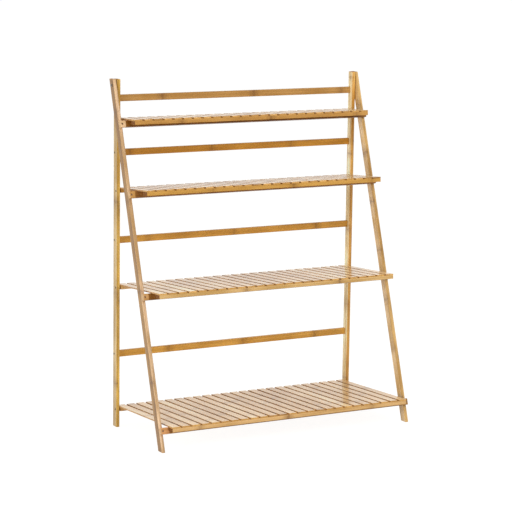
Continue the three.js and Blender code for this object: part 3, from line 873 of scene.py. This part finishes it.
def slat_row_tree():
    """A row of slats along +X whose rear ends lie at Y = 0: one is swept along its length and
    then copied. Every slat keeps its place along the grain and gets a tone and knots at random."""
    tree = bpy.data.node_groups.new("slat_row", "GeometryNodeTree")
    sizes = named_inputs(tree, {
        "Slat Width": "Float", "Slat Thickness": "Float", "Slat Length": "Float",
        "Slat Easing": "Float", "Pitch": "Float", "Slat Count": "Int", "Seed": "Int",
        "Rail Depth": "Float", "First Tint": "Vector", "Last Tint": "Vector",
        "Bamboo": "Material", "Side Bamboo": "Material", "End Bamboo": "Material",
    })
    forward_length = add(
        tree, "ShaderNodeMath", {0: sizes["Slat Length"], 1: -1.0}, operation="MULTIPLY"
    )
    front_end = add(tree, "ShaderNodeCombineXYZ", {"Y": forward_length})
    length_line = add(tree, "GeometryNodeCurvePrimitiveLine", {"End": front_end})
    upright_line = add(tree, "GeometryNodeSetCurveNormal", {"Curve": length_line}, mode="Z_UP")
    section = add(
        tree, "GeometryNodeCurvePrimitiveQuadrilateral",
        {"Width": sizes["Slat Width"], "Height": sizes["Slat Thickness"]},
    )
    corner = add(tree, "GeometryNodeInputPosition")
    corner_axes = add(tree, "ShaderNodeSeparateXYZ", {0: corner})
    is_upper = add(
        tree, "ShaderNodeMath", {0: corner_axes.outputs["Y"], 1: 0.0}, operation="GREATER_THAN"
    )
    upper_easing = add(
        tree, "ShaderNodeMath",
        {0: is_upper, 1: sizes["Slat Easing"], 2: LEAST_EASING}, operation="MULTIPLY_ADD",
    )
    eased = add(
        tree, "GeometryNodeFilletCurve",
        {"Curve": section, "Count": SLAT_EASING_STEPS, "Radius": upper_easing}, mode="POLY",
    )
    slat = add(
        tree, "GeometryNodeCurveToMesh",
        {"Curve": upright_line, "Profile Curve": eased, "Fill Caps": True},
    )
    place = add(tree, "GeometryNodeInputPosition")
    axes = add(tree, "ShaderNodeSeparateXYZ", {0: place})
    along = add(tree, "ShaderNodeMath", {0: axes.outputs["Y"], 1: -1.0}, operation="MULTIPLY")
    in_slat = add(
        tree, "ShaderNodeCombineXYZ", {"X": along, "Y": axes.outputs["X"], "Z": axes.outputs["Z"]}
    )
    grained = add(
        tree, "GeometryNodeStoreNamedAttribute",
        {"Geometry": slat, "Name": "grain", "Value": in_slat},
        data_type="FLOAT_VECTOR", domain="POINT",
    )
    step = add(tree, "ShaderNodeCombineXYZ", {"X": sizes["Pitch"]})
    row = add(tree, "GeometryNodeMeshLine", {"Count": sizes["Slat Count"], "Offset": step})
    slats = add(tree, "GeometryNodeInstanceOnPoints", {"Points": row, "Instance": grained})
    random_tone = add(tree, "FunctionNodeRandomValue", {"Seed": sizes["Seed"]}, data_type="FLOAT")
    before_rail = add(
        tree, "ShaderNodeMath",
        {0: sizes["Slat Length"], 1: sizes["Rail Depth"]}, operation="SUBTRACT",
    )
    least_knots = add(tree, "ShaderNodeCombineXYZ", {**NEAREST_KNOTS, "Z": before_rail})
    most_knots = add(tree, "ShaderNodeCombineXYZ", {**FURTHEST_KNOTS, "Z": before_rail})
    random_knots = add(
        tree, "FunctionNodeRandomValue",
        {"Min": least_knots, "Max": most_knots, "Seed": sizes["Seed"]}, data_type="FLOAT_VECTOR",
    )
    between = add(
        tree, "ShaderNodeMix",
        {"Factor": random_tone.outputs[1], "A": sizes["First Tint"], "B": sizes["Last Tint"]},
        data_type="VECTOR",
    )
    for name, kind, value in (
        ("tone", "FLOAT", random_tone.outputs[1]),
        ("knots", "FLOAT_VECTOR", random_knots),
        ("tint", "FLOAT_VECTOR", between.outputs["Result"]),
    ):
        slats = add(
            tree, "GeometryNodeStoreNamedAttribute",
            {"Geometry": slats, "Name": name, "Value": value}, data_type=kind, domain="INSTANCE",
        )
    real = add(tree, "GeometryNodeRealizeInstances", {"Geometry": slats})
    made = add(tree, "GeometryNodeSetMaterial", {"Geometry": real, "Material": sizes["Bamboo"]})
    facing_of = add(tree, "GeometryNodeInputNormal")
    facing_axes = add(tree, "ShaderNodeSeparateXYZ", {0: facing_of})
    for axis, bamboo in (("X", "Side Bamboo"), ("Y", "End Bamboo")):
        along_axis = add(
            tree, "ShaderNodeMath", {0: facing_axes.outputs[axis]}, operation="ABSOLUTE"
        )
        faces_out = add(
            tree, "ShaderNodeMath", {0: along_axis, 1: FACING_OUT}, operation="GREATER_THAN"
        )
        made = add(
            tree, "GeometryNodeSetMaterial",
            {"Geometry": made, "Selection": faces_out, "Material": sizes[bamboo]},
        )
    add(tree, "NodeGroupOutput", {"Geometry": made})
    return tree


def grown(name, tree, values, start=None):
    """A new object whose mesh a geometry tree makes, from a start mesh where one is given."""
    piece = placed(name, start or bpy.data.meshes.new(name))
    maker = piece.modifiers.new("maker", "NODES")
    maker.node_group = tree
    for socket in tree.interface.items_tree:
        if socket.in_out == "INPUT" and socket.name in values:
            maker[socket.identifier] = values[socket.name]
    return piece


slat_row = slat_row_tree()
for tier, seat in shelf_seats.items():
    shelf = f"shelf_{tier}"
    low, high = local_box(shelf + "_deck", seat)
    slats = grown(shelf + "_slats", slat_row, {
        "Slat Width": SLAT_WIDTH, "Slat Thickness": SLAT_THICKNESS,
        "Slat Length": high.y - low.y, "Slat Easing": SLAT_EASING,
        "Pitch": (high.x - low.x - SLAT_WIDTH) / (SLAT_COUNT - 1), "Slat Count": SLAT_COUNT,
        "Seed": tier, "Rail Depth": SHELF_RAIL_DEPTH, "First Tint": BROWNEST_SLAT,
        "Last Tint": PALEST_SLAT, "Bamboo": slat_bamboo, "Side Bamboo": slat_side_bamboo,
        "End Bamboo": shelf_rail_bamboo,
    })
    ends = slats.modifiers.new("eased_ends", "BEVEL")
    ends.width = SLAT_END_EASING
    ends.segments = SLAT_END_STEPS
    ends.angle_limit = SLAT_END_ANGLE
    settled(slats)
    first_slat = Vector((low.x + SLAT_WIDTH / 2, high.y, high.z - SLAT_THICKNESS / 2))
    slats.data.transform(seat @ Matrix.Translation(first_slat))
    finish_piece(slats, shelf, "slat_bamboo", (), shelf + "_deck")


# ----------------------------------------------------------------------
# Screws
# Countersunk wood screws of plated steel with a cross recess. Those of the shelves, which they
# turn on, and of the back rails are painted dark, as painted shade in heads sunk into the legs'
# sides, and those of the rungs a brighter yellowish grey, as a painted reflection of the white
# studio on heads that face forward.
SHADED_SCREW_TONES = (0x54483A, 0x7D705E)
LIT_RUNG_SCREW_TONES = (0x9A7858, 0xBFA080)
SCREW_ROUGHNESS = (0.3, 0.55)
SCREW_PATCHES = 70  # the plating's patches are 1.4 mm wide
CROSS_WIDTH = 0.0011
CROSS_SPAN = 0.004
CROSS_DEPTH = 0.0016
SCREW_TIP = 0.004
TIP_END = 0.2  # of the shank's radius, where the tip is blunt
SHANK_DROP = CROSS_DEPTH / 4  # how far the shank's top lies under the head's, inside it


def plated_steel(name, tones, roughnesses, patches):
    """Plated steel: a metal whose plating is a little uneven, so that its tone and gloss vary."""
    dark, bright = tones
    smoothest, roughest = roughnesses
    material, tree = new_material(name)
    place = add(tree, "ShaderNodeTexCoord")
    plating = add(
        tree, "ShaderNodeTexNoise",
        {"Vector": place.outputs["Object"], "Scale": patches / PATTERN_LENGTH, "Detail": 2.0},
    )
    colour = add(
        tree, "ShaderNodeMix",
        {"Factor": plating.outputs["Fac"], "A": linear(dark), "B": linear(bright)},
        data_type="RGBA",
    )
    roughness = add(
        tree, "ShaderNodeMapRange",
        {"Value": plating.outputs["Fac"], "To Min": smoothest, "To Max": roughest},
    )
    surface = add(
        tree, "ShaderNodeBsdfPrincipled",
        {"Base Color": colour.outputs["Result"], "Metallic": 1.0, "Roughness": roughness},
    )
    add(tree, "ShaderNodeOutputMaterial", {"Surface": surface})
    return material


# The dark steel holds painted shade, and the rung screws' steel a painted reflection.
shaded_screw_steel = plated_steel(
    "dark_zinc_screw_steel", SHADED_SCREW_TONES, SCREW_ROUGHNESS, SCREW_PATCHES
)
lit_rung_screw_steel = plated_steel(
    "yellow_zinc_screw_steel", LIT_RUNG_SCREW_TONES, SCREW_ROUGHNESS, SCREW_PATCHES
)


def screw_tree():
    """Screws on the points of a mesh. A head's top lies in its point, the head faces the way
    that the point's "outward" attribute gives, and a cross is sunk into it."""
    tree = bpy.data.node_groups.new("countersunk_screws", "GeometryNodeTree")
    tree.interface.new_socket("Geometry", in_out="INPUT", socket_type="NodeSocketGeometry")
    sizes = named_inputs(tree, {
        "Head Radius": "Float", "Shank Radius": "Float", "Screw Length": "Float",
        "Tip Length": "Float", "Cross Width": "Float", "Cross Span": "Float",
        "Cross Depth": "Float", "Sides": "Int", "Steel": "Material",
    })
    taper = add(
        tree, "ShaderNodeMath",
        {0: sizes["Head Radius"], 1: sizes["Shank Radius"]}, operation="SUBTRACT",
    )
    head = add(
        tree, "GeometryNodeMeshCone",
        {"Vertices": sizes["Sides"], "Radius Top": sizes["Head Radius"],
         "Radius Bottom": sizes["Shank Radius"], "Depth": taper},
    )
    head_foot = add(tree, "ShaderNodeMath", {0: taper, 1: -1.0}, operation="MULTIPLY")
    shank_length = add(
        tree, "ShaderNodeMath",
        {0: sizes["Screw Length"], 1: sizes["Tip Length"]}, operation="SUBTRACT",
    )
    shank = add(
        tree, "GeometryNodeMeshCylinder",
        {"Vertices": sizes["Sides"], "Radius": sizes["Shank Radius"], "Depth": shank_length},
    )
    shank_middle = add(
        tree, "ShaderNodeMath",
        {0: shank_length, 1: -0.5, 2: -SHANK_DROP}, operation="MULTIPLY_ADD",
    )
    tip_radius = add(
        tree, "ShaderNodeMath", {0: sizes["Shank Radius"], 1: TIP_END}, operation="MULTIPLY"
    )
    tip = add(
        tree, "GeometryNodeMeshCone",
        {"Vertices": sizes["Sides"], "Radius Top": sizes["Shank Radius"],
         "Radius Bottom": tip_radius, "Depth": sizes["Tip Length"]},
    )
    tip_foot = add(
        tree, "ShaderNodeMath", {0: sizes["Screw Length"], 1: -1.0}, operation="MULTIPLY"
    )
    body = add(tree, "GeometryNodeMeshBoolean", operation="UNION", solver="EXACT")
    for part, height in ((head, head_foot), (shank, shank_middle), (tip, tip_foot)):
        place = add(tree, "ShaderNodeCombineXYZ", {"Z": height})
        moved = add(tree, "GeometryNodeTransform", {"Geometry": part, "Translation": place})
        tree.links.new(moved.outputs[0], body.inputs["Mesh 2"])
    # The cross is cut by two bars, of which one half stands above the head.
    deep = add(tree, "ShaderNodeMath", {0: sizes["Cross Depth"], 1: 2.0}, operation="MULTIPLY")
    arm_sizes = (
        {"X": sizes["Cross Span"], "Y": sizes["Cross Width"], "Z": deep},
        {"X": sizes["Cross Width"], "Y": sizes["Cross Span"], "Z": deep},
    )
    recessed = add(
        tree, "GeometryNodeMeshBoolean", {"Mesh 1": body}, operation="DIFFERENCE", solver="EXACT"
    )
    for arm_size in arm_sizes:
        size = add(tree, "ShaderNodeCombineXYZ", arm_size)
        arm = add(tree, "GeometryNodeMeshCube", {"Size": size})
        tree.links.new(arm.outputs[0], recessed.inputs["Mesh 2"])
    outward = add(
        tree, "GeometryNodeInputNamedAttribute", {"Name": "outward"}, data_type="FLOAT_VECTOR"
    )
    turn = add(tree, "FunctionNodeAlignRotationToVector", {"Vector": outward}, axis="Z")
    screws = add(
        tree, "GeometryNodeInstanceOnPoints",
        {"Points": sizes["Geometry"], "Instance": recessed, "Rotation": turn},
    )
    real = add(tree, "GeometryNodeRealizeInstances", {"Geometry": screws})
    made = add(tree, "GeometryNodeSetMaterial", {"Geometry": real, "Material": sizes["Steel"]})
    add(tree, "NodeGroupOutput", {"Geometry": made})
    return tree


def screw_set(name, body, steel, places, nodes):
    """All the screws of one body as one piece."""
    points = bpy.data.meshes.new(name)
    points.from_pydata([place[0] for place in places], [], [])
    outward = points.attributes.new("outward", "FLOAT_VECTOR", "POINT")
    for value, place in zip(outward.data, places):
        value.vector = place[1]
    screws = grown(name, countersunk_screws, {
        "Head Radius": SCREW_HEAD_DIAMETER / 2, "Shank Radius": SCREW_DIAMETER / 2,
        "Screw Length": places[0][2], "Tip Length": SCREW_TIP, "Cross Width": CROSS_WIDTH,
        "Cross Span": CROSS_SPAN, "Cross Depth": CROSS_DEPTH, "Sides": ROUND_SIDES,
        "Steel": steel,
    }, start=points)
    settled(screws)
    finish_piece(screws, body, "screw_steel", (), *nodes)


countersunk_screws = screw_tree()
screw_groups = {
    "rear_frame": ("back_rail", "back_rail_screws"), "front_frame": ("rung", "rung_screws"),
}
for tier in shelf_seats:
    screw_groups[f"shelf_{tier}"] = (f"shelf_{tier}", f"shelf_{tier}_pivot_screws")
for body, (prefix, name) in screw_groups.items():
    in_front = body == "front_frame"
    places = screw_places(prefix, dict.fromkeys(SIDES, forward) if in_front else SIDES)
    nodes = [n for n in frame["nodes"] if n.startswith(prefix) and n.endswith("_screw")]
    screw_set(name, body, lit_rung_screw_steel if in_front else shaded_screw_steel, places, nodes)


# ----------------------------------------------------------------------
# Main pivots
# On each side a domed bolt with a hexagon socket goes through both legs into a sleeve nut that is
# let into the rear leg, with a washer between the legs. Bolts and washers are nickelled steel and
# look silvery grey, and the plain nuts are brassed.
PIVOT_TONES = (0x6E675E, 0x9A9289)
PIVOT_ROUGHNESS = (0.25, 0.45)
NUT_TONES = (0xB89468, 0xD8B88C)
NUT_ROUGHNESS = (0.3, 0.5)
PIVOT_PATCHES = 50  # the plating's patches are 2 mm wide
SOCKET_RADIUS = 0.0023
SOCKET_DEPTH = 0.0016
BOLT_HEAD_RADIUS = 0.005
BOLT_HEAD_HEIGHT = 0.0024
DOME_STEPS = 8
DOME_RIM = 0.3  # of the head's height, up its straight rim
RIM = 0.0003

pivot_steel = plated_steel("nickelled_pivot_steel", PIVOT_TONES, PIVOT_ROUGHNESS, PIVOT_PATCHES)
nut_steel = plated_steel("brassed_nut_steel", NUT_TONES, NUT_ROUGHNESS, PIVOT_PATCHES)


def pivot_piece(name, node, steel, profile, place, socket_top=None, closed=False):
    """A turned steel piece of a pivot, with a hexagon socket where a height is given for it."""
    shape = bmesh.new()
    turned(shape, profile, place, closed=closed)
    piece = drawn(name, shape)
    if socket_top is not None:
        foot = socket_top - SOCKET_DEPTH
        socket = bmesh.new()
        hexagon = [
            (0, foot), (SOCKET_RADIUS, foot), (SOCKET_RADIUS, socket_top + SOCKET_DEPTH),
            (0, socket_top + SOCKET_DEPTH),
        ]
        turned(socket, hexagon, place, sides=6)
        cut_away(piece, socket)
    finish_piece(piece, "front_frame", "pivot_steel", (steel,), node)


for side, outward in SIDES.items():
    direction = Vector(outward)
    low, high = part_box(side + "_pivot_bolt")
    middle = (low + high) / 2
    bolt_top = high.x - low.x
    shank_foot = middle - direction * bolt_top / 2
    seat_height = bolt_top - BOLT_HEAD_HEIGHT
    dome = []
    for step in range(DOME_STEPS):
        a = math.pi / 2 * step / DOME_STEPS
        rise = BOLT_HEAD_HEIGHT * (DOME_RIM + (1 - DOME_RIM) * math.sin(a))
        dome.append((BOLT_HEAD_RADIUS * math.cos(a), seat_height + rise))
    bolt_profile = [
        (0, 0), (BOLT_RADIUS - RIM, 0), (BOLT_RADIUS, RIM), (BOLT_RADIUS, seat_height),
        (BOLT_HEAD_RADIUS, seat_height), *dome, (0, bolt_top),
    ]
    pivot_piece(
        side + "_pivot_bolt_turned", side + "_pivot_bolt", pivot_steel, bolt_profile,
        facing(shank_foot, direction), socket_top=bolt_top,
    )
    low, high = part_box(side + "_pivot_washer")
    middle = (low + high) / 2
    outer = (high.z - low.z) / 2
    half = (high.x - low.x) / 2
    inner = BOLT_RADIUS + HOLE_CLEARANCE
    ring = [
        (inner, -half), (outer - RIM / 2, -half), (outer, -half + RIM / 2),
        (outer, half - RIM / 2), (outer - RIM / 2, half), (inner, half),
    ]
    pivot_piece(
        side + "_pivot_washer_ring", side + "_pivot_washer", pivot_steel, ring,
        facing(middle, direction), closed=True,
    )
    low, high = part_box(side + "_pivot_nut")
    middle = (low + high) / 2
    half = (high.x - low.x) / 2
    flange_foot = half - PIVOT_FLANGE_HEIGHT
    nut_profile = [
        (0, flange_foot), (inner, flange_foot), (inner, -half), (PIVOT_SLEEVE_RADIUS, -half),
        (PIVOT_SLEEVE_RADIUS, flange_foot), (PIVOT_FLANGE_RADIUS, flange_foot),
        (PIVOT_FLANGE_RADIUS, half - RIM), (PIVOT_FLANGE_RADIUS - RIM, half), (0, half),
    ]
    pivot_piece(
        side + "_pivot_nut_turned", side + "_pivot_nut", nut_steel, nut_profile,
        facing(middle, -direction),
    )


# ----------------------------------------------------------------------
# Sizes of the CAD model and of this one, and the end
low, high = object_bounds()
